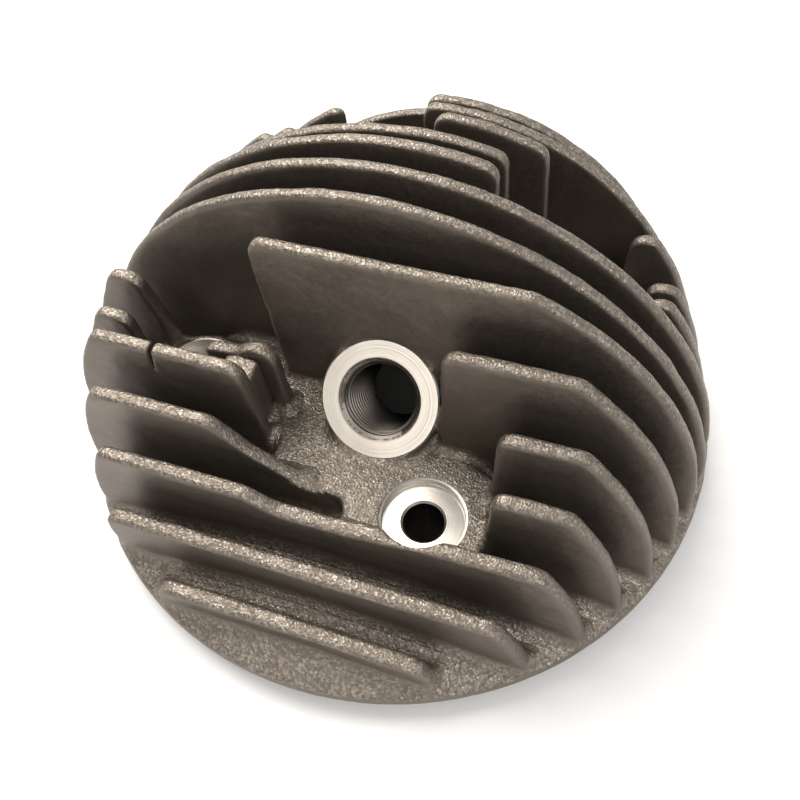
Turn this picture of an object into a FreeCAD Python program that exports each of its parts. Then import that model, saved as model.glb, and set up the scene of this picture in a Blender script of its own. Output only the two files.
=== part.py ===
"""Fan-cooled two-stroke cylinder head, one die casting modelled as its separate named features.

Frame: millimetres, +Z up along the cylinder axis.  The origin is the centre of the sealing face.
The cooling fins run along X, the sparking plug leans forwards, towards -Y.
"""
import FreeCAD, Part
from math import sqrt
import os
import Sketcher

DOC = FreeCAD.newDocument("cylinder_head")

DIMENSIONS = {
    # turned underside
    "land_radius": 50.0,            # outer radius of the sealing face
    "land_height": 3.0,             # sealing face to the underside of the disc
    "bore_radius": 28.5,            # inner radius of the sealing face
    "squish_depth": 0.8,            # recess of the squish band at the bore radius
    "squish_rise": 0.7,             # further rise of the band at the chamber mouth
    "chamber_sphere": 22.3,         # radius of the hemispherical chamber
    "chamber_roof": 18.5,           # height of the chamber roof
    # disc and the casting above the chamber
    "disc_radius": 67.5,
    "rim_height": 6.0,              # top of the disc at the rim
    "pan_inner": 53.0,              # annular recess under the disc
    "pan_outer": 64.0,
    "pan_inner_ceiling": 8.0,
    "pan_outer_ceiling": 4.6,
    "shoulder_radius": 38.0,        # where the coned disc meets the dome over the chamber
    "shoulder_height": 17.5,
    "crown_radius": 31.0,
    "deck_height": 23.1,
    # deck outline around the plug and the first stud
    "deck_left": -13.5,
    "deck_tongue": 3.1,             # the deck fills the gap before the third fin from here on
    "deck_right": 29.0,
    "deck_corner": 27.2,
    "deck_notch": 17.7,
    "deck_waist": 16.5,
    "deck_corner_back": -25.0,
    "deck_notch_back": -23.4,
    # sparking plug, M14 x 1.25
    "plug_x": 4.3,
    "plug_y": -20.15,
    "plug_z": 31.45,                # centre of the turned plug seat
    "plug_lean": 47.0,              # degrees from +Z towards -Y
    "plug_seat_radius": 11.3,
    "plug_bore_radius": 7.0,
    "plug_boss_length": 26.0,
    "plug_bore_depth": 30.0,        # past the chamber wall all round
    # four M7 studs
    "stud_circle": 81.0,            # pitch circle diameter
    "stud_angle": -64.3,            # direction of the first stud from +X
    "stud_hole_radius": 3.75,
    "stud_boss_radius": 9.1,
    "nut_seat_radius": 7.6,
    "nut_seat_depth": 1.8,
    "nut_access_radius": 8.3,
    # cooling fins
    "fin_first": -59.0,             # Y of the first fin
    "fin_pitch": 7.7,
    "fin_thickness": 2.4,           # at the top of the tallest fins
    "fin_root": 3.2,                # at the foot: the fins are drafted
    "fin_dome_radius": 67.6,        # dome over the arched fins
    "fin_dome_centre": -2.4,
    "fin_foot_radius": 66.3,
    "fin_end_radius": 58.0,         # bulge of the ends of the flat-topped fins
    "fin_corner": 3.0,              # rounding of the top corners
    "fin_reach": 75.0,              # half length of a fin blank, beyond the dome
    "fin_top": 72.0,                # height of the fin blanks, above the dome
    "fin_foot": 4.0,                # bottom of a fin blank, inside the casting
    # web between the fifth fin and the ridge behind it
    "web_left": -24.0,
    "web_right": -17.4,
    "web_height": 38.0,
    # slot between the first stud boss and the fins on its right
    "slot_left": 21.0,
    "slot_right": 27.3,
    "slot_back": -32.0,
    "slot_floor": 16.0,
}

STUD_NUMBERS = range(1, 5)
FIN_NUMBERS = range(1, 17)
STUD_STEP = 90.0                    # degrees between studs

# Faces of the fins that the deck meets, as sheet expressions for Y.
THIRD_FIN_BACK = "(dims.fin_first + 2 * dims.fin_pitch + dims.fin_thickness / 2)"
FOURTH_FIN_FRONT = "(dims.fin_first + 3 * dims.fin_pitch - dims.fin_thickness / 2)"
FIFTH_FIN = "(dims.fin_first + 4 * dims.fin_pitch)"
SEVENTH_FIN_FRONT = "(dims.fin_first + 6 * dims.fin_pitch - dims.fin_thickness / 2)"

# Fin pieces with flat tops: number in the row, its bulging ends, and the outline as (X, Z) corners
# from the left foot
# over the top to the right foot.  The word says which of the two ends reach the rim and bulge.
FLAT_FINS = {
    "fin_01": (1, "both", [(-30.4, 4.0), (-26.0, 13.8), (23.5, 13.8), (28.3, 4.0)]),
    "fin_02": (2, "both", [(-42.4, 4.0), (-38.8, 21.5), (34.5, 21.5), (42.4, 4.0)]),
    "fin_03": (3, "both", [(-49.6, 4.0), (-41.8, 30.2), (-13.0, 29.8), (-7.0, 26.4), (4.0, 26.4),
                           (24.0, 29.2), (40.0, 29.6), (50.2, 4.0)]),
    "fin_04_left": (4, "left", [(-54.6, 4.0), (-44.6, 37.6), (-20.6, 37.8), (-14.7, 30.4), (-3.0, 21.8),
                                (3.0, 15.0)]),
    "fin_04_right": (4, "right", [(29.0, 4.0), (29.0, 36.7), (42.0, 36.9), (55.2, 4.0)]),
    "fin_05_left": (5, "left", [(-57.8, 4.0), (-46.0, 44.3), (-16.9, 43.9), (-14.6, 4.0)]),
    "fin_05_right": (5, "right", [(27.8, 4.0), (27.8, 42.7), (42.0, 42.9), (59.6, 4.0)]),
    "fin_06_left": (6, "left", [(-61.5, 4.0), (-51.2, 40.4), (-45.0, 40.2), (-38.0, 4.0)]),
    "fin_06_ridge": (6, "none", [(-38.0, 4.0), (-33.0, 36.8), (-22.5, 38.0), (-19.5, 40.0), (-14.6, 40.0),
                                 (-14.2, 4.0)]),
    "fin_06_right": (6, "right", [(16.4, 4.0), (16.4, 50.7), (38.5, 50.7), (62.6, 4.0)]),
    "fin_07_left": (7, "left", [(-63.5, 4.0), (-51.9, 42.6), (-46.0, 42.6), (-38.6, 4.0)]),
    "fin_07": (7, "right", [(-17.2, 4.0), (-19.4, 59.2), (29.0, 58.9), (64.8, 4.0)]),
    "fin_10_right": (10, "right", [(47.6, 4.0), (46.6, 38.8), (51.2, 38.6), (65.0, 4.0)]),
    "fin_11_right": (11, "right", [(47.4, 4.0), (46.8, 35.2), (52.4, 34.8), (63.2, 4.0)]),
    "fin_12_right": (12, "right", [(41.6, 4.0), (41.9, 39.4), (46.8, 39.2), (60.6, 4.0)]),
}

# Fin pieces with arched tops: number in the row and the (foot, top) X of the left and right ends.
# None means that the arch runs down to the rim.
ARCHED_FINS = {
    "fin_08": (8, None, None),
    "fin_09": (9, None, None),
    "fin_10": (10, None, (18.9, 17.6)),
    "fin_11": (11, None, (20.5, 17.6)),
    "fin_12_left": (12, None, (-31.4, -32.2)),
    "fin_12": (12, (1.0, 1.6), (27.5, 23.6)),
    "fin_13_left": (13, None, (-30.2, -31.0)),
    "fin_13": (13, (-3.0, -2.9), None),
    "fin_14_left": (14, None, (-24.0, -22.5)),
    "fin_14": (14, (-5.0, -4.6), None),
    "fin_15": (15, None, None),
    "fin_16": (16, None, None),
}

# Arches that stand off the common dome: how much higher they are.
ARCH_RISE = {11: -1.4, 14: 1.7}


def make_sheet():
    """Spreadsheet with one aliased cell for each driving dimension."""
    dims = DOC.addObject("Spreadsheet::Sheet", "dims")
    cells = dict(DIMENSIONS)
    for name, (_, _, corners) in FLAT_FINS.items():
        for index, (x, z) in enumerate(corners):
            cells[f"{name}_x_{index}"] = x
            cells[f"{name}_z_{index}"] = z
    for name, (_, left, right) in ARCHED_FINS.items():
        for side, ends in (("start", left), ("end", right)):
            if ends:
                cells[f"{name}_{side}_foot"], cells[f"{name}_{side}_top"] = ends
    for number, rise in ARCH_RISE.items():
        cells[f"arch_{number}_rise"] = rise
    for row, (alias, value) in enumerate(cells.items(), start=1):
        dims.set(f"A{row}", alias)
        dims.set(f"B{row}", str(value))
        dims.setAlias(f"B{row}", alias)
    DOC.recompute()


def bind(obj, **expressions):
    """Binds properties to sheet expressions; a double underscore stands for a dot."""
    for path, expression in expressions.items():
        obj.setExpression(path.replace("__", "."), expression)
    return obj


def origin_plane(body, role):
    """Origin plane of a body by its role, such as XZ_Plane."""
    return next(feature for feature in body.Origin.OriginFeatures if feature.Role == role)


def outline_sketch(body, name, role, corners, arcs=None):
    """Closed outline through corners given as pairs of sheet expressions.

    The sides are straight lines, except those listed in arcs with their radius: they bulge to the
    right of an outline that runs counter-clockwise.
    """
    arcs = arcs or {}
    sketch = body.newObject("Sketcher::SketchObject", name)
    sketch.AttachmentSupport = [(origin_plane(body, role), "")]
    sketch.MapMode = "FlatFace"
    count = len(corners)
    values = [FreeCAD.Vector(evaluate(x), evaluate(y), 0) for x, y in corners]
    for index in range(count):
        first, last = values[index], values[(index + 1) % count]
        if index in arcs:
            sketch.addGeometry(bulging_arc(first, last, evaluate(arcs[index])), False)
        else:
            sketch.addGeometry(Part.LineSegment(first, last), False)
    for index in range(count):
        sketch.addConstraint(Sketcher.Constraint("Coincident", index, 2, (index + 1) % count, 1))
    for index, radius in arcs.items():
        number = sketch.addConstraint(Sketcher.Constraint("Radius", index, evaluate(radius)))
        sketch.setExpression(f"Constraints[{number}]", radius)
    for index, (x, y) in enumerate(corners):
        for axis, expression, value in (("X", x, values[index].x), ("Y", y, values[index].y)):
            constraint = Sketcher.Constraint(f"Distance{axis}", -1, 1, index, 1, value)
            number = sketch.addConstraint(constraint)
            sketch.setExpression(f"Constraints[{number}]", expression)
    return sketch


def bulging_arc(first, last, radius):
    """Arc between two points, bulging to the right of the way from the first to the last."""
    chord = last - first
    rise = radius - sqrt(radius ** 2 - chord.Length ** 2 / 4)
    outwards = FreeCAD.Vector(chord.y, -chord.x, 0).normalize()
    return Part.Arc(first, (first + last) / 2 + outwards * rise, last)


def evaluate(expression):
    """Present value of a sheet expression."""
    value = DOC.getObject("dims").evalExpression(expression)
    return float(getattr(value, "Value", value))


def revolved_body(name, corners):
    """Body turned about +Z from an outline of (radius, height) corners."""
    body = DOC.addObject("PartDesign::Body", name)
    sketch = outline_sketch(body, f"{name}_section", "XZ_Plane", corners)
    turn = body.newObject("PartDesign::Revolution", f"{name}_turn")
    turn.Profile = sketch
    turn.ReferenceAxis = (sketch, ["V_Axis"])
    turn.Angle = 360.0
    body.Tip = turn
    return body


def padded_body(name, role, corners, length, midplane, arcs=None):
    """Body padded from an outline on one of its origin planes."""
    body = DOC.addObject("PartDesign::Body", name)
    sketch = outline_sketch(body, f"{name}_outline", role, corners, arcs)
    pad = body.newObject("PartDesign::Pad", f"{name}_pad")
    pad.Profile = sketch
    pad.Midplane = midplane
    pad.setExpression("Length", length)
    body.Tip = pad
    return body


def cylinder(name, radius, height, **placement):
    """Cylinder primitive with its radius, height and placement bound to the sheet."""
    primitive = DOC.addObject("Part::Cylinder", name)
    return bind(primitive, Radius=radius, Height=height, **placement)


def fused(name, shapes):
    union = DOC.addObject("Part::MultiFuse", name)
    union.Shapes = shapes
    return union


def cut(name, base, tool):
    result = DOC.addObject("Part::Cut", name)
    result.Base = base
    result.Tool = tool
    return result


def common(name, shapes):
    result = DOC.addObject("Part::MultiCommon", name)
    result.Shapes = shapes
    return result


def stud_cylinder(name, number, radius, foot, top):
    """Vertical cylinder on the axis of one of the four studs."""
    angle = f"(dims.stud_angle + {STUD_STEP * (number - 1)})"
    return cylinder(
        name, radius, f"{top} - ({foot})",
        Placement__Base__x=f"dims.stud_circle / 2 * cos({angle})",
        Placement__Base__y=f"dims.stud_circle / 2 * sin({angle})",
        Placement__Base__z=foot,
    )


def plug_cylinder(name, radius, above, below):
    """Cylinder on the plug axis, from below the seat to above it."""
    tool = cylinder(
        name, radius, f"{above} + {below}",
        Placement__Base__x="dims.plug_x",
        Placement__Base__y=f"dims.plug_y + ({below}) * sin(dims.plug_lean)",
        Placement__Base__z=f"dims.plug_z - ({below}) * cos(dims.plug_lean)",
    )
    tool.Placement = FreeCAD.Placement(FreeCAD.Vector(), FreeCAD.Rotation(FreeCAD.Vector(1, 0, 0), 1))
    return bind(tool, Placement__Rotation__Angle="dims.plug_lean * 1 deg")


def make_core():
    """Solid of revolution that the disc and the dome over the chamber are parts of."""
    return revolved_body("casting_core", [
        ("0", "0"),
        ("dims.disc_radius", "0"),
        ("dims.disc_radius", "dims.rim_height"),
        ("dims.shoulder_radius", "dims.shoulder_height"),
        ("dims.crown_radius", "dims.deck_height"),
        ("0", "dims.deck_height"),
    ])


def make_disc():
    """Outer annulus of the disc, coned on top, with a shallow pan underneath."""
    cone = "(dims.shoulder_height - dims.rim_height) / (dims.disc_radius - dims.shoulder_radius)"
    return revolved_body("base_disc", [
        ("dims.land_radius", "dims.land_height"),
        ("dims.pan_inner", "dims.land_height"),
        ("dims.pan_inner", "dims.pan_inner_ceiling"),
        ("dims.pan_outer", "dims.pan_outer_ceiling"),
        ("dims.pan_outer", "dims.land_height"),
        ("dims.disc_radius", "dims.land_height"),
        ("dims.disc_radius", "dims.rim_height"),
        ("dims.land_radius", f"dims.rim_height + (dims.disc_radius - dims.land_radius) * {cone}"),
    ])


def make_sealing_ring(stud_holes):
    """Turned sealing land with the squish band inside it."""
    chamber_centre = "(dims.chamber_roof - dims.chamber_sphere)"
    mouth = f"sqrt(dims.chamber_sphere ^ 2 - (dims.land_height - {chamber_centre}) ^ 2)"
    blank = revolved_body("sealing_ring_blank", [
        (mouth, "dims.squish_depth + dims.squish_rise"),
        ("dims.bore_radius", "dims.squish_depth"),
        ("dims.bore_radius", "0"),
        ("dims.land_radius", "0"),
        ("dims.land_radius", "dims.land_height"),
        (mouth, "dims.land_height"),
    ])
    return cut("sealing_ring", blank, stud_holes)


def make_dome(core, openings):
    """Casting over the chamber, inside the disc: the core within the land's radius."""
    waist = cylinder(
        "dome_waist", "dims.land_radius", "dims.deck_height",
        Placement__Base__z="dims.land_height",
    )
    blank = common("dome_blank", [core, waist])
    return cut("chamber_dome", blank, openings)


def make_deck(core, boss, openings):
    """Flat deck around the plug seat and the first stud, on top of the coned casting."""
    blank = padded_body("deck_blank", "XY_Plane", [
        ("dims.deck_left", SEVENTH_FIN_FRONT),
        ("dims.deck_left", FOURTH_FIN_FRONT),
        ("dims.deck_tongue", FOURTH_FIN_FRONT),
        ("dims.deck_tongue", THIRD_FIN_BACK),
        ("dims.deck_right", THIRD_FIN_BACK),
        ("dims.deck_right", FIFTH_FIN),
        ("dims.deck_corner", "dims.deck_corner_back"),
        ("dims.deck_notch", "dims.deck_notch_back"),
        ("dims.deck_waist", SEVENTH_FIN_FRONT),
    ], "dims.deck_height", False)
    slot = DOC.addObject("Part::Box", "deck_slot")
    bind(
        slot, Length="dims.slot_right - dims.slot_left", Width=f"dims.slot_back - {THIRD_FIN_BACK}",
        Height="dims.deck_height", Placement__Base__x="dims.slot_left",
        Placement__Base__y=THIRD_FIN_BACK, Placement__Base__z="dims.slot_floor",
    )
    return cut("deck", blank, fused("deck_openings", [core, boss, slot, openings]))


def make_boss_blank(number):
    """Round blank of a stud boss; the first one is flattened where it meets the third fin."""
    name = f"stud_boss_{number}"
    blank = stud_cylinder(f"{name}_blank", number, "dims.stud_boss_radius",
                          "dims.rim_height", "dims.deck_height")
    if number > 1:
        return blank
    front = DOC.addObject("Part::Box", "first_boss_front")
    bind(
        front, Length="dims.disc_radius", Width="dims.disc_radius", Height="dims.fin_top",
        Placement__Base__y=f"{THIRD_FIN_BACK} - dims.disc_radius",
    )
    return cut(f"{name}_flattened", blank, front)


def make_stud_boss(number, blank, core, stud_holes):
    """Round boss with a spot-faced nut seat, standing on the coned casting."""
    name = f"stud_boss_{number}"
    seat = stud_cylinder(f"{name}_seat", number, "dims.nut_seat_radius",
                         "(dims.deck_height - dims.nut_seat_depth)", "(dims.deck_height + 1)")
    return cut(name, blank, fused(f"{name}_openings", [core, stud_holes, seat]))


def make_nut_access(number):
    """Space for a nut and its socket; at the first stud the spot-facer also bites the third fin."""
    radius, foot = "dims.nut_access_radius", "dims.deck_height"
    if number == 1:
        radius, foot = "dims.nut_seat_radius", "(dims.deck_height - dims.nut_seat_depth)"
    return stud_cylinder(f"nut_access_{number}", number, radius, foot, "dims.fin_top")


def fin_wedge(number):
    """Space of one fin of the row: its drafted thickness over the whole width."""
    wedge = padded_body(f"fin_wedge_{number:02d}", "YZ_Plane", [
        ("-dims.fin_root / 2", "dims.fin_foot"),
        ("dims.fin_root / 2", "dims.fin_foot"),
        ("dims.fin_thickness / 2", "dims.fin_top"),
        ("-dims.fin_thickness / 2", "dims.fin_top"),
    ], "2 * dims.fin_reach", True)
    return bind(wedge, Placement__Base__y=fin_plane(number))


def fin_plane(number):
    """Y of the middle plane of a fin, as a sheet expression."""
    return f"(dims.fin_first + {number - 1} * dims.fin_pitch)"


def round_corners(body, corners):
    """Rounds the edges of a padded body that stand on the given corners."""
    DOC.recompute()
    pad = body.Tip
    places = [(evaluate(x), evaluate(z)) for x, z in corners]
    edges = []
    for index, edge in enumerate(pad.Shape.Edges, start=1):
        first, last = edge.Vertexes[0].Point, edge.Vertexes[-1].Point
        along_y = abs(first.x - last.x) + abs(first.z - last.z) < 1e-6
        if along_y and any(abs(first.x - x) + abs(first.z - z) < 1e-4 for x, z in places):
            edges.append(f"Edge{index}")
    rounding = body.newObject("PartDesign::Fillet", f"{body.Name}_rounding")
    rounding.Base = (pad, edges)
    rounding.setExpression("Radius", "dims.fin_corner")
    body.Tip = rounding
    return body


def flat_outline(name, ends, corners):
    """Outline of a flat-topped fin: its corners, the bulging sides and the rounded corners."""
    outline = [(f"dims.{name}_x_{index}", f"dims.{name}_z_{index}") for index in range(len(corners))]
    outline.reverse()
    arcs = {}
    if ends in ("both", "right"):
        arcs[0] = "dims.fin_end_radius"
    if ends in ("both", "left"):
        arcs[len(outline) - 2] = "dims.fin_end_radius"
    return outline, arcs, outline[1:-1]


def arched_outline(name, number, left, right):
    """Outline of an arched fin: its corners, the arch and the rounded corners of pocket ends."""
    radius = f"sqrt(dims.fin_dome_radius ^ 2 - {fin_plane(number)} ^ 2)"
    rim = f"sqrt(dims.fin_foot_radius ^ 2 - {fin_plane(number)} ^ 2)"
    centre = "dims.fin_dome_centre"
    if number in ARCH_RISE:
        centre += f" + dims.arch_{number}_rise"
    feet, tops, rounded = [], [], []
    for side, given, rim_x in (("end", right, rim), ("start", left, f"-{rim}")):
        foot_x, top_x = rim_x, rim_x
        if given:
            foot_x, top_x = f"dims.{name}_{side}_foot", f"dims.{name}_{side}_top"
        top = (top_x, f"{centre} + sqrt({radius} ^ 2 - ({top_x}) ^ 2)")
        feet.append((foot_x, "dims.fin_foot"))
        tops.append(top)
        if given:
            rounded.append(top)
    return [feet[0], tops[0], tops[1], feet[1]], {1: radius}, rounded


def make_fin(name, number, outline, arcs, rounded, room, obstacles):
    """One fin piece: its blank within the drafted room of its row, less the casting under it."""
    blank = padded_body(f"{name}_blank", "XZ_Plane", outline, "2 * dims.fin_root", True, arcs)
    if rounded:
        round_corners(blank, rounded)
    bind(blank, Placement__Base__y=fin_plane(number))
    return cut(name, common(f"{name}_drafted", [blank] + room), obstacles)


def make_web():
    """Flat web between the fifth fin and the ridge behind it."""
    front = FIFTH_FIN
    back = f"({FIFTH_FIN} + dims.fin_pitch)"
    blank = DOC.addObject("Part::Box", "fin_web_blank")
    bind(
        blank, Length="dims.web_right - dims.web_left", Width=f"{back} - {front}",
        Height="dims.web_height - dims.fin_foot", Placement__Base__x="dims.web_left",
        Placement__Base__y=front, Placement__Base__z="dims.fin_foot",
    )
    return blank


def build():
    """Builds the document and returns its sub-parts."""
    make_sheet()
    stud_holes = fused("stud_holes", [
        stud_cylinder(f"stud_hole_{number}", number, "dims.stud_hole_radius", "-1", "dims.fin_top")
        for number in STUD_NUMBERS
    ])
    chamber = DOC.addObject("Part::Sphere", "chamber_sphere")
    bind(chamber, Radius="dims.chamber_sphere",
         Placement__Base__z="dims.chamber_roof - dims.chamber_sphere")
    plug_bore = plug_cylinder("plug_bore", "dims.plug_bore_radius", "1", "dims.plug_bore_depth")
    openings = fused("openings", [stud_holes, chamber, plug_bore])

    core = make_core()
    boss_blanks = [make_boss_blank(number) for number in STUD_NUMBERS]
    bosses = [
        make_stud_boss(number, blank, core, stud_holes)
        for number, blank in zip(STUD_NUMBERS, boss_blanks)
    ]
    deck = make_deck(core, boss_blanks[0], openings)

    plug_blank = plug_cylinder("plug_boss_blank", "dims.plug_seat_radius", "0", "dims.plug_boss_length")
    deck_space = fused("deck_space", [core, deck, plug_bore])
    plug_boss = cut("plug_boss", plug_blank, deck_space)

    plug_space = plug_cylinder("plug_space", "dims.plug_seat_radius", "dims.plug_seat_radius",
                               "dims.plug_boss_length")
    nut_spaces = [make_nut_access(number) for number in STUD_NUMBERS]
    obstacles = fused("fin_obstacles", [core, deck, plug_space] + nut_spaces + boss_blanks)

    wedges = {number: fin_wedge(number) for number in FIN_NUMBERS}
    rim = cylinder("fin_foot_circle", "dims.fin_foot_radius", "dims.fin_top")
    web = make_web()
    outlines = {
        name: (number, *flat_outline(name, ends, corners))
        for name, (number, ends, corners) in FLAT_FINS.items()
    }
    for name, (number, left, right) in ARCHED_FINS.items():
        outlines[name] = (number, *arched_outline(name, number, left, right))
    fins = [
        make_fin(name, number, outline, arcs, rounded, [wedges[number], rim], obstacles)
        for name, (number, outline, arcs, rounded) in sorted(outlines.items())
    ]
    fins.append(cut("fin_web", web, fused("web_surroundings", [core, wedges[5], wedges[6]])))
    parts = [
        make_disc(),
        make_sealing_ring(stud_holes),
        make_dome(core, openings),
        deck,
        plug_boss,
    ]
    return parts + bosses + fins


def export(parts):
    """Checks every object of the document and writes each sub-part."""
    DOC.recompute()
    for obj in DOC.Objects:
        if {"Invalid", "Error"} & set(obj.State):
            raise RuntimeError(f"{obj.Name} failed: {obj.State}")
    os.makedirs("parts", exist_ok=True)
    for part in parts:
        if part.Shape.isNull() or not part.Shape.isValid():
            raise RuntimeError(f"{part.Name} has no valid shape")
        if len(part.Shape.Solids) != 1:
            raise RuntimeError(f"{part.Name} has {len(part.Shape.Solids)} solids")
        part.Label = part.Name
        part.Shape.exportStep(f"parts/{part.Label}.step")


export(build())
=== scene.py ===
"""Looks of the finned cylinder head: the cast skin, its machined seats, a pale floor and soft light.

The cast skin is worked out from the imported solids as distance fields, so that every place where
two of them meet gets the fillet and every edge the rounding that a die casting has.  Fields are in
millimetres on one lattice of voxels; meshes are in metres, in the row frame.
"""
import math

import bmesh
import bpy
import numpy as np
import openvdb as vdb
from mathutils import Matrix, Vector


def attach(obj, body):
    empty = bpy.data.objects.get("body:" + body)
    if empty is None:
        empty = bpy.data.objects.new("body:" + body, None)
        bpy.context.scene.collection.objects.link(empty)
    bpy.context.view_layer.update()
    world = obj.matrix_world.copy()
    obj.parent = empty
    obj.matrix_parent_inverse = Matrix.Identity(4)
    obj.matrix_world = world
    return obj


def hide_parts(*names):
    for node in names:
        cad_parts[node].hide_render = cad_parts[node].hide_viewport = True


MM = 0.001

# Colours of the cast skin, linear
CAST_DARK = (0.140, 0.118, 0.098)
CAST_LIGHT = (0.205, 0.176, 0.148)
CAST_STAIN = (0.120, 0.098, 0.076)
# Sand grain colours for faces that look up: lighter than the skin, real sand grain with painted light from
# above
SAND_TOPLIGHT_LOW = (0.185, 0.157, 0.129)
SAND_TOPLIGHT_MID = (0.240, 0.208, 0.173)
SAND_SCALE = 2100.0             # grains for each metre
# Near-black painted shade for the insides of the plug and stud bores, mixed into the turned colour
BORE_PAINTED_SHADE = (0.045, 0.036, 0.028)
# Brightest sand grains: painted glints on faces that look up
SAND_TOPLIGHT_HIGH = (0.35, 0.311, 0.265)

# Voxels of the distance fields
VOXEL = 0.4
BAND = 9                        # voxels of true distance on each side of a surface

# The casting
BASE_FILLET = 2.0
BASE_ROUNDING = 0.7
FIN_FILLET = 2.2
FIN_SOFTENING = 0.45            # blur of a fin's edges
ROOT_DEPTH = 0.5                # how far a fin piece reaches into the casting under it
TOE_TRIM = 0.15                 # where a fillet is cut off, short of running out to nothing
SWELLS = (5.0, 0.10)            # wavelength and height of the casting's unevenness
PIMPLES = (1.5, 0.045)
BREAKS = (3.0, 0.22)            # the same of the broken pieces
BROKEN = ("fin_06_ridge", "fin_web")
NOISE_REACH = 84.0              # half size of the cube that the unevenness covers
NICKED = "fin_05_left"
NICK_PLACE = (-34.3, 42.3)      # X and Z of the nick in the top of that fin
NICK_DEPTH = 4.5
NICK_LEAN = 0.16

# The head, as in the CAD part
RIM_RADIUS = 67.42
LAND_RADIUS = 50.0
LAND_HEIGHT = 3.0
CHAMBER_RADIUS = 22.3
CHAMBER_CENTRE = -3.8
DECK_HEIGHT = 23.1
PLUG_SEAT = (4.3, -20.15, 31.45)
PLUG_LEAN = 47.0
PLUG_SEAT_RADIUS = 11.3
PLUG_BORE_RADIUS = 7.0
THREAD_PITCH = 1.25
THREAD_DEPTH = 0.68
THREAD_FORM = (0, 0, 0.15, 0.4, 0.65, 0.9, 1, 1, 0.9, 0.65, 0.4, 0.15)    # height over one pitch
THREAD_START = 0.9              # below the seat
THREAD_FADE = 0.7               # length over which the thread grows at either end
STUD_CIRCLE = 81.0
STUD_ANGLE = -64.3
STUD_HOLE_RADIUS = 3.75
NUT_SEAT_RADIUS = 7.6
NUT_SEAT_HEIGHT = 21.3

# Camera, as found from the disc's outline and the fins
CAMERA_PLACE = (36.66, -87.84, 140.86)
CAMERA_AZIMUTH = -67.36         # direction from the object to the camera, from +X
CAMERA_ELEVATION = 55.75
CAMERA_ROLL = -5.45
CAMERA_LENS = 32.6

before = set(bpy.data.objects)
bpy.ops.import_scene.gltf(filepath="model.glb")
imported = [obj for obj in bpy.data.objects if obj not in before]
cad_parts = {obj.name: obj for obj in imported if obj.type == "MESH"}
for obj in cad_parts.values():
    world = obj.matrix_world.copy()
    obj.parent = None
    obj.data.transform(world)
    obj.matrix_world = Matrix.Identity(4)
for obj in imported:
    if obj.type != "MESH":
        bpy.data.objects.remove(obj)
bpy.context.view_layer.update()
LATTICE = vdb.createLinearTransform(voxelSize=VOXEL)
CAST_BODY = ["base_disc", "chamber_dome", "deck"]
BOSSES = [f"stud_boss_{number}" for number in range(1, 5)]
FINS = sorted(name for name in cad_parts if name.startswith("fin_"))


# ---------------------------------------------------------------- distance fields

class Field:
    """Distances in millimetres on a box of voxels that starts at the voxel low."""

    def __init__(self, low, values):
        self.low = tuple(int(v) for v in low)
        self.values = values

    def axes(self):
        """The X, Y and Z of the voxels, shaped to broadcast together."""
        spans = [(low + np.arange(n)) * VOXEL for low, n in zip(self.low, self.values.shape)]
        return spans[0][:, None, None], spans[1][None, :, None], spans[2][None, None, :]

    def polygons(self, level=0.0):
        """Points, triangles and quads of the surface at that distance."""
        grid = vdb.FloatGrid(BAND * VOXEL)
        grid.copyFromArray(self.values.astype(np.float32), ijk=self.low)
        grid.transform = LATTICE
        return grid.convertToPolygons(isovalue=level)

    def offset_and_back(self, radius):
        """Rolls a ball of that radius along the outside (above 0) or the inside of the surface."""
        points, triangles, quads = self.polygons(radius)
        grid = vdb.FloatGrid.createLevelSetFromPolygons(
            points, triangles=triangles, quads=quads, transform=LATTICE, halfWidth=BAND)
        self.values = sample(grid, self.low, self.values.shape).values + radius

    def window(self, low, shape):
        """The same field on another box inside this one."""
        start = [a - b for a, b in zip(low, self.low)]
        part = tuple(slice(s, s + n) for s, n in zip(start, shape))
        return self.values[part]


def sample(grid, low, shape):
    """Values of a grid on a box of voxels."""
    values = np.empty(shape, np.float32)
    grid.copyToArray(values, ijk=tuple(int(v) for v in low))
    return Field(low, values)


def node_grid(name):
    """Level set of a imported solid."""
    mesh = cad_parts[name].data
    mesh.calc_loop_triangles()
    points = np.empty(len(mesh.vertices) * 3, np.float32)
    mesh.vertices.foreach_get("co", points)
    corners = np.empty(len(mesh.loop_triangles) * 3, np.int32)
    mesh.loop_triangles.foreach_get("vertices", corners)
    return vdb.FloatGrid.createLevelSetFromPolygons(
        points.reshape(-1, 3).astype(np.float64) / MM, triangles=corners.reshape(-1, 3).astype(np.uint32),
        transform=LATTICE, halfWidth=BAND)


def blurred(values, sigma):
    """Gaussian blur along the three axes."""
    reach = int(math.ceil(2.5 * sigma / VOXEL))
    steps = np.arange(-reach, reach + 1) * VOXEL
    weights = np.exp(-steps ** 2 / (2 * sigma ** 2))
    weights /= weights.sum()
    for axis in range(3):
        padded = np.pad(values, [(reach, reach) if a == axis else (0, 0) for a in range(3)], "edge")
        total = np.zeros_like(values)
        for shift, weight in enumerate(weights):
            part = [slice(None)] * 3
            part[axis] = slice(shift, shift + values.shape[axis])
            total += weight.astype(np.float32) * padded[tuple(part)]
        values = total
    return values


def round_union(a, b, radius):
    """Union of two fields with a fillet of that radius between them."""
    arc = np.hypot(np.maximum(radius - a, 0), np.maximum(radius - b, 0))
    return np.maximum(radius, np.minimum(a, b)) - arc


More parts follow.
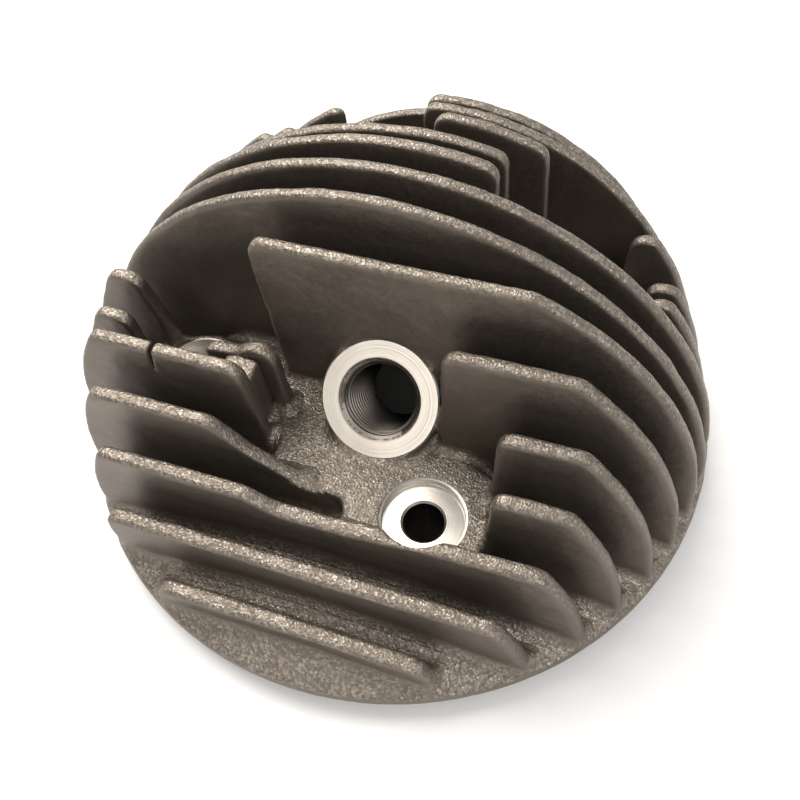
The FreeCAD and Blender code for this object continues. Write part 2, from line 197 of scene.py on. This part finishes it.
def unevenness(field, wavelength, seed):
    """Smooth random values from -1 to 1 that are the same function of place in every field."""
    count = int(2 * NOISE_REACH / wavelength) + 3
    lattice = np.random.default_rng(seed).uniform(-1, 1, (count,) * 3).astype(np.float32)
    for axis in range(3):
        place = ((field.low[axis] + np.arange(field.values.shape[axis])) * VOXEL + NOISE_REACH) / wavelength
        cell = np.floor(place).astype(int)
        along = place - cell
        along = along * along * (3 - 2 * along)
        lattice = np.moveaxis(lattice, axis, 0)
        rest = (-1,) + (1,) * (lattice.ndim - 1)
        along = along.reshape(rest).astype(np.float32)
        lattice = lattice[cell] * (1 - along) + lattice[cell + 1] * along
        lattice = np.moveaxis(lattice, 0, axis)
    return lattice


def roughened(field, values, layers=(SWELLS, PIMPLES)):
    """values with the unevenness of the casting, which the machined chamber is free of."""
    x, y, z = field.axes()
    bumps = sum(height * unevenness(field, wavelength, seed)
                for seed, (wavelength, height) in enumerate(layers))
    from_chamber = np.sqrt(x * x + y * y + (z - CHAMBER_CENTRE) ** 2) - CHAMBER_RADIUS
    return values + bumps * np.clip(from_chamber - 1.0, 0, 1)


def plug_frame(x, y, z):
    """Distance from the plug's axis and height over its seat."""
    lean = math.radians(PLUG_LEAN)
    dx, dy, dz = x - PLUG_SEAT[0], y - PLUG_SEAT[1], z - PLUG_SEAT[2]
    above = -dy * math.sin(lean) + dz * math.cos(lean)
    across = dy * math.cos(lean) + dz * math.sin(lean)
    return np.sqrt(dx * dx + across * across), above


def stud_places():
    """X and Y of the four stud axes."""
    for number in range(4):
        angle = math.radians(STUD_ANGLE + 90 * number)
        yield STUD_CIRCLE / 2 * math.cos(angle), STUD_CIRCLE / 2 * math.sin(angle)


def machined(field, values):
    """values with room cut for the machined pieces: the seats, the bores and the turned land."""
    x, y, z = field.axes()
    radius, above = plug_frame(x, y, z)
    values = np.maximum(values, PLUG_BORE_RADIUS + 0.45 - radius)
    seat = np.maximum(radius - PLUG_SEAT_RADIUS - 0.1, -0.15 - above)
    values = np.maximum(values, -seat)
    for stud_x, stud_y in stud_places():
        radius = np.hypot(x - stud_x, y - stud_y)
        values = np.maximum(values, STUD_HOLE_RADIUS + 0.3 - radius)
        pocket = np.maximum(radius - NUT_SEAT_RADIUS - 0.12, NUT_SEAT_HEIGHT - 0.15 - z)
        values = np.maximum(values, -pocket)
    from_axis = np.hypot(x, y)
    land = np.maximum(from_axis - LAND_RADIUS - 0.3, z - LAND_HEIGHT + 0.05)
    values = np.maximum(values, -land)
    return np.maximum(values, from_axis - RIM_RADIUS)


# ---------------------------------------------------------------- meshes

def new_piece(name, points, faces, material):
    """Mesh object from points in metres."""
    mesh = bpy.data.meshes.new(name)
    mesh.from_pydata(points, [], faces)
    mesh.update()
    mesh.shade_smooth()
    piece = bpy.data.objects.new(name, mesh)
    bpy.context.scene.collection.objects.link(piece)
    mesh.materials.append(material)
    return piece


def field_piece(name, field, values, materials):
    """Skin of a field as a piece."""
    points, triangles, quads = Field(field.low, values).polygons()
    count = len(triangles) * 3 + len(quads) * 4
    mesh = bpy.data.meshes.new(name)
    mesh.vertices.add(len(points))
    mesh.vertices.foreach_set("co", (points * MM).astype(np.float32).ravel())
    mesh.loops.add(count)
    mesh.polygons.add(len(triangles) + len(quads))
    corners = np.concatenate([triangles[:, ::-1].ravel(), quads[:, ::-1].ravel()]).astype(np.int32)
    sizes = np.concatenate([np.full(len(triangles), 3), np.full(len(quads), 4)])
    mesh.loops.foreach_set("vertex_index", corners)
    mesh.polygons.foreach_set("loop_start", np.concatenate([[0], np.cumsum(sizes)[:-1]]).astype(np.int32))
    mesh.update(calc_edges=True)
    mesh.validate()
    mesh.shade_smooth()
    for material in materials:
        mesh.materials.append(material)
    piece = bpy.data.objects.new(name, mesh)
    bpy.context.scene.collection.objects.link(piece)
    return piece


def body_field():
    """The casting without its fins, as one filleted solid."""
    names = CAST_BODY + BOSSES + ["plug_boss", "sealing_ring"]
    grids = [node_grid(name) for name in names]
    boxes = [grid.evalActiveVoxelBoundingBox() for grid in grids]
    low = [min(box[0][axis] for box in boxes) - 2 for axis in range(3)]
    high = [max(box[1][axis] for box in boxes) + 3 for axis in range(3)]
    shape = [b - a for a, b in zip(low, high)]
    body = sample(grids[0], low, shape)
    for grid in grids[1:]:
        body.values = np.minimum(body.values, sample(grid, low, shape).values)
    body.offset_and_back(BASE_FILLET)
    body.offset_and_back(-BASE_ROUNDING)
    return body


def make_casting(cast, turned):
    """Disc, dome, deck and bosses as one skin, with the turned chamber in it; returns its field."""
    body = body_field()
    values = machined(body, roughened(body, body.values))
    piece = field_piece("casting", body, values, [cast, turned])
    centres = np.empty(len(piece.data.polygons) * 3, np.float32)
    piece.data.polygons.foreach_get("center", centres)
    x, y, z = (centres.reshape(-1, 3) / MM).T
    from_chamber = np.sqrt(x * x + y * y + (z - CHAMBER_CENTRE) ** 2)
    in_chamber = (from_chamber < CHAMBER_RADIUS + 0.15) & (z > 0)
    piece.data.polygons.foreach_set("material_index", in_chamber.astype(np.int32))
    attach(piece, "root")
    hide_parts(*CAST_BODY)
    return body


def nick(field):
    """Room of a thin crack, open at the top and leaning a little."""
    x, _, z = field.axes()
    above = z - NICK_PLACE[1] + NICK_DEPTH
    along = x - NICK_PLACE[0] - NICK_LEAN * (z - NICK_PLACE[1])
    return np.minimum(0.12 + 0.05 * above - np.abs(along), above)


def make_fin(name, body, cast):
    """A fin with its root fillet; the fillet ends where it meets the casting."""
    grid = node_grid(name)
    low, high = grid.evalActiveVoxelBoundingBox()
    low = [v - 3 for v in low]
    shape = [b + 4 - a for a, b in zip(low, high)]
    fin = sample(grid, low, shape)
    under = np.full(shape, BAND * VOXEL, np.float32)
    lo = [max(a, b) for a, b in zip(low, body.low)]
    hi = [min(a + n, b + m) for a, n, b, m in zip(low, shape, body.low, body.values.shape)]
    inner = tuple(slice(a - c, b - c) for a, b, c in zip(lo, hi, low))
    under[inner] = body.window(lo, [b - a for a, b in zip(lo, hi)])
    blade = blurred(fin.values, FIN_SOFTENING)
    whole = round_union(blade, under, FIN_FILLET)
    layers = (SWELLS, PIMPLES, BREAKS) if name in BROKEN else (SWELLS, PIMPLES)
    whole = machined(fin, roughened(fin, whole, layers))
    if name == NICKED:
        whole = np.maximum(whole, nick(fin))
    whole = np.maximum(whole, blade - FIN_FILLET + TOE_TRIM)
    whole = np.maximum(whole, -under - ROOT_DEPTH)
    piece = field_piece(f"cast_{name}", fin, whole, [cast])
    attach(piece, "root")
    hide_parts(name)


SEGMENTS = 144
SHARP_ANGLE = math.radians(32)
WELD = 2e-6                     # metres: points of a turned piece closer than this are one

def turned_piece(name, loops, materials, bore, matrix, node, seam=None):
    """Closed ring-shaped piece from loops, which are (radius, height) pairs of arrays or numbers.

    Its faces within the radius and under the height of bore get the second material, the one with the
    painted shade of the bore.

    seam gives, for each loop, the loop that its last point joins: itself unless it is a helix.
    """
    seam = seam or list(range(len(loops)))
    angles = np.arange(SEGMENTS) * 2 * math.pi / SEGMENTS
    points = []
    for radius, height in loops:
        radius = np.broadcast_to(radius, angles.shape)
        height = np.broadcast_to(height, angles.shape)
        points.append(np.stack([radius * np.cos(angles), radius * np.sin(angles), height], 1))
    points = np.concatenate(points) * MM
    faces = []
    for row in range(len(loops)):
        below = (row + 1) % len(loops)
        for column in range(SEGMENTS - 1):
            faces.append((row * SEGMENTS + column, row * SEGMENTS + column + 1,
                          below * SEGMENTS + column + 1, below * SEGMENTS + column))
        faces.append((row * SEGMENTS + SEGMENTS - 1, seam[row] * SEGMENTS,
                      seam[below] * SEGMENTS, below * SEGMENTS + SEGMENTS - 1))
    piece = new_piece(name, points.tolist(), faces, materials[0])
    piece.data.materials.append(materials[1])
    mesh = bmesh.new()
    mesh.from_mesh(piece.data)
    bmesh.ops.remove_doubles(mesh, verts=mesh.verts, dist=WELD)
    bmesh.ops.dissolve_degenerate(mesh, edges=mesh.edges, dist=WELD)
    bmesh.ops.recalc_face_normals(mesh, faces=mesh.faces)
    for face in mesh.faces:
        centre = face.calc_center_median() / MM
        if math.hypot(centre.x, centre.y) < bore[0] and centre.z < bore[1]:
            face.material_index = 1
    mesh.to_mesh(piece.data)
    mesh.free()
    piece.data.set_sharp_from_angle(angle=SHARP_ANGLE)
    piece.matrix_world = matrix
    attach(piece, "root")
    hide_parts(node)


def make_nut_seat(number, place, materials):
    """Spot-faced seat with the wall of its stud hole, as one turned liner of the casting."""
    hole, seat, top = STUD_HOLE_RADIUS, NUT_SEAT_RADIUS, DECK_HEIGHT
    floor = NUT_SEAT_HEIGHT
    loops = [
        (hole, LAND_HEIGHT), (hole, floor - 0.4), (hole + 0.4, floor), (seat - 0.1, floor),
        (seat, floor + 0.1), (seat, top - 0.2), (seat + 0.3, top - 0.1), (seat + 0.3, floor - 0.5),
        (hole + 0.6, floor - 1.2), (hole + 0.6, LAND_HEIGHT),
    ]
    matrix = Matrix.Translation(Vector((place[0], place[1], 0)) * MM)
    turned_piece(f"nut_seat_{number}", loops, materials, (hole + 0.05, floor - 0.4), matrix,
                 f"stud_boss_{number}")


def bore_end(radius, angles):
    """Depth below the seat at which a line at that radius from the plug's axis meets the chamber."""
    lean = math.radians(PLUG_LEAN)
    centre = Vector((0, 0, CHAMBER_CENTRE)) - Vector(PLUG_SEAT)
    across = Vector((0, math.cos(lean), math.sin(lean)))
    down = Vector((0, math.sin(lean), -math.cos(lean)))
    x = radius * np.cos(angles) - centre.x
    y = radius * np.sin(angles) - centre.dot(across)
    return centre.dot(down) - np.sqrt(CHAMBER_RADIUS ** 2 - x * x - y * y)


def make_plug_seat(materials):
    """Turned seat with its chamfer and the real thread, down to the chamber."""
    angles = np.arange(SEGMENTS) * 2 * math.pi / SEGMENTS
    end = bore_end(PLUG_BORE_RADIUS, angles)
    start, fade = THREAD_START, THREAD_FADE
    steps = len(THREAD_FORM)
    turns = int(end.max() / THREAD_PITCH) + 3
    wall = PLUG_BORE_RADIUS + 0.6
    outer = PLUG_SEAT_RADIUS
    loops = [
        (wall, -4.0), (outer, -3.5), (outer, -0.3), (outer - 0.3, 0.0), (PLUG_BORE_RADIUS + 0.9, 0.0),
    ]
    seam = list(range(len(loops)))
    last = len(loops) + (turns + 1) * steps - 1
    for row in range(-steps, turns * steps):
        depth = (row / steps + angles / (2 * math.pi)) * THREAD_PITCH
        depth = np.clip(depth, start, end)
        grown = np.clip((depth - start) / fade, 0, 1) * np.clip((end - depth) / fade, 0, 1)
        seam.append(min(len(loops) + steps, last))
        loops.append((PLUG_BORE_RADIUS - THREAD_DEPTH * THREAD_FORM[row % steps] * grown, -depth))
    seam.append(len(loops))
    loops.append((wall, 0.05 - bore_end(wall, angles)))
    lean = Matrix.Rotation(math.radians(PLUG_LEAN), 4, "X")
    matrix = Matrix.Translation(Vector(PLUG_SEAT) * MM) @ lean
    turned_piece("plug_seat", loops, materials, (PLUG_BORE_RADIUS + 0.1, -start), matrix,
                 "plug_boss", seam)


# ---------------------------------------------------------------- materials

def new_material(name):
    """Node material, with its nodes, its links and its shader."""
    material = bpy.data.materials.new(name)
    material.use_nodes = True
    nodes = material.node_tree.nodes
    return material, nodes, material.node_tree.links, nodes["Principled BSDF"]


def noise(nodes, links, vector, scale, detail=4.0, roughness=0.55):
    """Noise value at a place; the scale is in waves for each metre."""
    node = nodes.new("ShaderNodeTexNoise")
    node.inputs["Scale"].default_value = scale
    node.inputs["Detail"].default_value = detail
    node.inputs["Roughness"].default_value = roughness
    links.new(vector, node.inputs["Vector"])
    return node.outputs["Fac"]


def ramp(nodes, links, source, stops):
    """Colour ramp over a value; a stop is a position with a grey or a colour."""
    node = nodes.new("ShaderNodeValToRGB")
    elements = node.color_ramp.elements
    while len(elements) < len(stops):
        elements.new(0.5)
    for element, (position, colour) in zip(elements, stops):
        element.position = position
        element.color = (*colour, 1.0) if isinstance(colour, tuple) else (colour,) * 3 + (1.0,)
    links.new(source, node.inputs["Fac"])
    return node.outputs["Color"]


def maths(nodes, links, operation, *values):
    """Result of a Math node; each value is a number or an output socket."""
    node = nodes.new("ShaderNodeMath")
    node.operation = operation
    for socket, value in zip(node.inputs, values):
        if isinstance(value, (int, float)):
            socket.default_value = value
        else:
            links.new(value, socket)
    return node.outputs[0]


def mixed(nodes, links, factor, a, b, blend="MIX"):
    """Mix of two colours, each of them given or from a socket."""
    node = nodes.new("ShaderNodeMix")
    node.data_type = "RGBA"
    node.blend_type = blend
    for socket, value in ((node.inputs[0], factor), (node.inputs[6], a), (node.inputs[7], b)):
        if isinstance(value, tuple):
            socket.default_value = (*value, 1.0)
        elif isinstance(value, (int, float)):
            socket.default_value = value
        else:
            links.new(value, socket)
    return node.outputs[2]


def grains(nodes, links, vector, scale, feature):
    """Voronoi cells: the distance within a cell, or a random number for each one."""
    node = nodes.new("ShaderNodeTexVoronoi")
    node.inputs["Scale"].default_value = scale
    links.new(vector, node.inputs["Vector"])
    return node.outputs[feature]


def cast_material():
    """Die-cast aluminium: warm grey, satin on the fins, sandy on the faces that look up, where the lighter
    sand colours are real sand grain with painted light from above and painted glints.
    """
    material, nodes, links, shader = new_material("cast_aluminium")
    place = nodes.new("ShaderNodeTexCoord").outputs["Object"]
    normal = nodes.new("ShaderNodeNewGeometry").outputs["Normal"]
    upward = nodes.new("ShaderNodeSeparateXYZ")
    links.new(normal, upward.inputs[0])
    facing_up = ramp(nodes, links, upward.outputs["Z"], [(0.25, 0.0), (0.7, 1.0)])

    cloud = noise(nodes, links, place, 45.0, 5.0)
    stain = noise(nodes, links, place, 16.0, 4.0, 0.6)
    grain = noise(nodes, links, place, 1100.0, 4.0, 0.7)
    cells = grains(nodes, links, place, SAND_SCALE, "Distance")
    flecks = grains(nodes, links, place, SAND_SCALE, "Color")
    fleck = nodes.new("ShaderNodeSeparateColor")
    links.new(flecks, fleck.inputs[0])

    tone = ramp(nodes, links, cloud, [(0.3, CAST_DARK), (0.7, CAST_LIGHT)])
    tone = mixed(nodes, links, ramp(nodes, links, stain, [(0.45, 0.0), (0.75, 0.35)]), tone, CAST_STAIN)
    speck = ramp(nodes, links, grain, [(0.35, (0.72, 0.70, 0.67)), (0.65, (1.0, 1.0, 1.0))])
    skin = mixed(nodes, links, 0.6, tone, speck, "MULTIPLY")
    # Sand colours, lighter than the skin: real grain with painted light from above and painted glints
    sand_toplight_stops = [(0.15, SAND_TOPLIGHT_LOW), (0.6, SAND_TOPLIGHT_MID), (0.95, SAND_TOPLIGHT_HIGH)]
    sand_toplight_colour = ramp(nodes, links, fleck.outputs[0], sand_toplight_stops)
    # Faces that look up get the lighter sand colour: painted light from above over the real sand grain
    links.new(mixed(nodes, links, facing_up, skin, sand_toplight_colour), shader.inputs["Base Color"])
    shader.inputs["Metallic"].default_value = 0.8
    satin = ramp(nodes, links, grain, [(0.3, 0.40), (0.7, 0.54)])
    sandy = ramp(nodes, links, fleck.outputs[1], [(0.1, 0.34), (0.9, 0.62)])
    links.new(mixed(nodes, links, facing_up, satin, sandy), shader.inputs["Roughness"])

    height = maths(nodes, links, "ADD", maths(nodes, links, "MULTIPLY", cells, 1.1), grain)
    strength = maths(nodes, links, "MULTIPLY_ADD", facing_up, 0.55, 0.10)
    bump = nodes.new("ShaderNodeBump")
    bump.inputs["Distance"].default_value = 0.00018
    links.new(strength, bump.inputs["Strength"])
    links.new(height, bump.inputs["Height"])
    links.new(bump.outputs["Normal"], shader.inputs["Normal"])
    return material


def turned_material(name, shade_amount):
    """Freshly turned aluminium: fine rings round the piece's own Z axis; shade_amount mixes in the
    near-black painted shade used for the bores.
    """
    material, nodes, links, shader = new_material(name)
    place = nodes.new("ShaderNodeTexCoord").outputs["Object"]
    parts = nodes.new("ShaderNodeSeparateXYZ")
    links.new(place, parts.inputs[0])
    squares = maths(nodes, links, "ADD",
                    maths(nodes, links, "POWER", parts.outputs["X"], 2.0),
                    maths(nodes, links, "POWER", parts.outputs["Y"], 2.0))
    radius = maths(nodes, links, "SQRT", squares)
    rings = nodes.new("ShaderNodeTexNoise")
    rings.noise_dimensions = "1D"
    rings.inputs["Scale"].default_value = 3500.0
    rings.inputs["Detail"].default_value = 2.0
    links.new(maths(nodes, links, "ADD", radius, parts.outputs["Z"]), rings.inputs["W"])
    cloud = noise(nodes, links, place, 120.0, 3.0)
    tone = ramp(nodes, links, cloud, [(0.3, (0.62, 0.58, 0.53)), (0.7, (0.72, 0.675, 0.62))])
    dark = ramp(nodes, links, rings.outputs["Fac"], [(0.3, (0.90, 0.90, 0.90)), (0.6, (1.0, 1.0, 1.0))])
    tone = mixed(nodes, links, 0.6, tone, dark, "MULTIPLY")
    # Bores get the near-black painted shade mixed into their colour, by shade_amount
    links.new(mixed(nodes, links, shade_amount, tone, BORE_PAINTED_SHADE), shader.inputs["Base Color"])
    rough = ramp(nodes, links, rings.outputs["Fac"], [(0.3, 0.42), (0.7, 0.32)])
    links.new(rough, shader.inputs["Roughness"])
    shader.inputs["Metallic"].default_value = 1.0
    shader.inputs["Anisotropic"].default_value = 0.75
    tangent = nodes.new("ShaderNodeTangent")
    tangent.direction_type = "RADIAL"
    tangent.axis = "Z"
    links.new(tangent.outputs[0], shader.inputs["Tangent"])
    bump = nodes.new("ShaderNodeBump")
    bump.inputs["Strength"].default_value = 0.15
    bump.inputs["Distance"].default_value = 0.00005
    links.new(rings.outputs["Fac"], bump.inputs["Height"])
    links.new(bump.outputs["Normal"], shader.inputs["Normal"])
    return material


# ---------------------------------------------------------------- stage

FLOOR_SIZE = 6.0                # metres

# Brightness of the surroundings: stops from the horizon up, and from the front to the back
SKY_BY_HEIGHT = [(0.02, 0.4), (0.2, 0.18), (0.5, 0.9), (0.97, 0.5)]
SKY_BY_SIDE = [(0.1, 0.45), (0.7, 1.0)]
SKY_STRENGTH = 1.2

LIGHT_TARGET = (0.0, 0.0, 0.02)

# Round lights: place and diameter in metres, watts, colour
LIGHTS = {
    "key": ((-0.40, 0.30, 0.70), 0.7, 8.5, (1.0, 0.95, 0.89)),
    "front": ((-0.16, -0.78, 0.44), 0.3, 0.9, (1.0, 0.94, 0.86)),
    "fill": ((0.55, -0.35, 0.6), 0.5, 2.5, (1.0, 0.97, 0.94)),
}


def make_floor():
    """Large pale floor that the head rests on."""
    material, nodes, links, shader = new_material("floor")
    place = nodes.new("ShaderNodeTexCoord").outputs["Object"]
    tint = noise(nodes, links, place, 3.0, 2.0)
    links.new(ramp(nodes, links, tint, [(0.3, 0.90), (0.7, 0.92)]), shader.inputs["Base Color"])
    shader.inputs["Roughness"].default_value = 0.9
    half = FLOOR_SIZE / 2
    corners = [(-half, -half, 0), (half, -half, 0), (half, half, 0), (-half, half, 0)]
    floor = new_piece("floor", corners, [(0, 1, 2, 3)], material)


def add_light(name):
    """One of the round lights, aimed at the head."""
    place, size, power, colour = LIGHTS[name]
    light = bpy.data.lights.new(name, "AREA")
    light.shape = "DISK"
    light.size = size
    light.energy = power
    light.color = colour
    lamp = bpy.data.objects.new(name, light)
    lamp.location = place
    aim = Vector(LIGHT_TARGET) - Vector(place)
    lamp.rotation_euler = aim.to_track_quat("-Z", "Y").to_euler()
    bpy.context.scene.collection.objects.link(lamp)


def make_sky():
    """Soft surroundings, brightest half way up and behind, so that upright faces stay dark."""
    world = bpy.data.worlds.new("studio")
    world.use_nodes = True
    nodes, links = world.node_tree.nodes, world.node_tree.links
    direction = nodes.new("ShaderNodeSeparateXYZ")
    links.new(nodes.new("ShaderNodeTexCoord").outputs["Generated"], direction.inputs[0])
    sky = ramp(nodes, links, direction.outputs["Z"], SKY_BY_HEIGHT)
    depth = maths(nodes, links, "MULTIPLY_ADD", direction.outputs["Y"], 0.5, 0.5)
    side = ramp(nodes, links, depth, SKY_BY_SIDE)
    links.new(mixed(nodes, links, 1.0, sky, side, "MULTIPLY"), nodes["Background"].inputs["Color"])
    nodes["Background"].inputs["Strength"].default_value = SKY_STRENGTH
    bpy.context.scene.world = world


def make_stage():
    """Floor, surroundings and lights."""
    bpy.context.scene.view_settings.view_transform = "Standard"
    make_sky()
    make_floor()
    for name in LIGHTS:
        add_light(name)


def make_camera():
    """Camera at its measured place; it looks along the given direction and is rolled a little."""
    azimuth, elevation = math.radians(CAMERA_AZIMUTH), math.radians(CAMERA_ELEVATION)
    back = Vector((math.cos(azimuth) * math.cos(elevation), math.sin(azimuth) * math.cos(elevation),
                   math.sin(elevation)))
    camera = bpy.data.objects.new("camera", bpy.data.cameras.new("camera"))
    turn = back.to_track_quat("Z", "Y") @ Matrix.Rotation(math.radians(CAMERA_ROLL), 3, "Z").to_quaternion()
    camera.rotation_euler = turn.to_euler()
    camera.location = Vector(CAMERA_PLACE) * MM
    camera.data.lens = CAMERA_LENS
    camera.data.clip_start = 0.005
    bpy.context.scene.collection.objects.link(camera)
    bpy.context.scene.camera = camera


cast = cast_material()
turned = turned_material("turned_aluminium", 0.0)
# Bore walls: turned aluminium darkened with painted shade
bore_shade = turned_material("bore_painted_shade", 0.85)
body = make_casting(cast, turned)
for fin in FINS:
    make_fin(fin, body, cast)
for number, place in enumerate(stud_places(), start=1):
    make_nut_seat(number, place, (turned, bore_shade))
make_plug_seat((turned, bore_shade))
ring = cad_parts["sealing_ring"]
ring.data.materials.clear()
ring.data.materials.append(turned)
make_stage()
make_camera()
